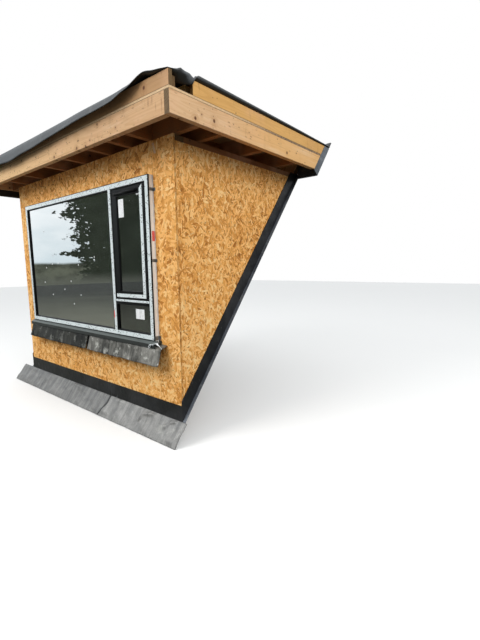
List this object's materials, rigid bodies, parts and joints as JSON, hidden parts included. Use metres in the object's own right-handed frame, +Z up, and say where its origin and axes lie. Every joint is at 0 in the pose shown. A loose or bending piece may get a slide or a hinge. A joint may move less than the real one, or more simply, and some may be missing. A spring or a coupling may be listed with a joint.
{
  "type": "timber-framed dormer window for a pitched roof",
  "caption": "Flat-roofed dormer that stands on a pitched roof: boarded timber frame, wide window with an opening light, open eaves, loose roof sheet and lead flashings.",
  "frame": {"origin": "on the main roof's surface, under the middle of the front wall: the centre of the bevelled bearer's underside", "axes": "+X along the front wall, to the right as seen from the front; +Y level, back into the roof; +Z up. The roof surface rises towards +Y at 52 degrees"},
  "size_m": [3.319, 2.238, 2.6511],
  "materials": {
    "strand_board": "bare oriented strand board, golden brown, matte",
    "sawn_timber": "sawn softwood, matte",
    "shaded_timber": "treated softwood joists, brown, matte",
    "planed_timber": "pale planed softwood with small knots",
    "kerb_timber": "yellow softwood board, matte",
    "deck_board": "board edge, weathered",
    "foam": "rigid foam board",
    "roof_sheet": "black flexible roof sheet, soft sheen",
    "black_upstand": "black strip, low sheen",
    "lead": "dull grey sheet lead, streaked",
    "frame_cream": "cream frame, satin",
    "frame_black": "black powder coating",
    "glazing": "clear sealed glass",
    "sill_metal": "dark grey folded sill",
    "white_tape": "white protective film",
    "label_paper": "blank white label",
    "red_tape": "red adhesive tape",
    "fixing_steel": "zinc plated steel"
  },
  "bodies": {
    "root": {"front_bearer": "sawn_timber", "right_sole_plate": "sawn_timber", "left_sole_plate": "sawn_timber", "lay_board": "sawn_timber", "front_bottom_plate": "sawn_timber", "front_top_plate": "sawn_timber", "right_corner_post": "sawn_timber", "left_corner_post": "sawn_timber", "right_window_stud": "sawn_timber", "left_window_stud": "sawn_timber", "window_lintel": "sawn_timber", "window_sill_rail": "sawn_timber", "cripple_studs": "sawn_timber", "right_top_plate": "shaded_timber", "left_top_plate": "shaded_timber", "right_cheek_studs": "sawn_timber", "left_cheek_studs": "sawn_timber", "front_boarding": "strand_board", "right_cheek_boarding": "strand_board", "left_cheek_boarding": "strand_board", "roof_joists": "shaded_timber", "right_lookouts": "shaded_timber", "left_lookouts": "shaded_timber", "front_fascia": "planed_timber", "right_fascia": "planed_timber", "left_fascia": "planed_timber", "roof_deck": "deck_board", "front_kerb": "kerb_timber", "right_kerb": "kerb_timber", "left_kerb": "kerb_timber", "corner_block": "shaded_timber", "roof_insulation": "foam", "roof_membrane": "roof_sheet", "window_frame": "frame_cream", "window_cladding": "frame_black", "opening_light": "frame_black", "large_pane": "glazing", "lower_pane": "glazing", "opening_light_pane": "glazing", "spacer_bars": "frame_black", "sash_handle": "frame_black", "sub_sill": "sill_metal", "sill_flashing": "lead", "front_upstand": "black_upstand", "right_upstand": "black_upstand", "left_upstand": "black_upstand", "front_apron": "lead", "right_soaker": "lead", "left_soaker": "lead", "right_saddle": "lead", "left_saddle": "lead"}
  },
  "joints": []
}
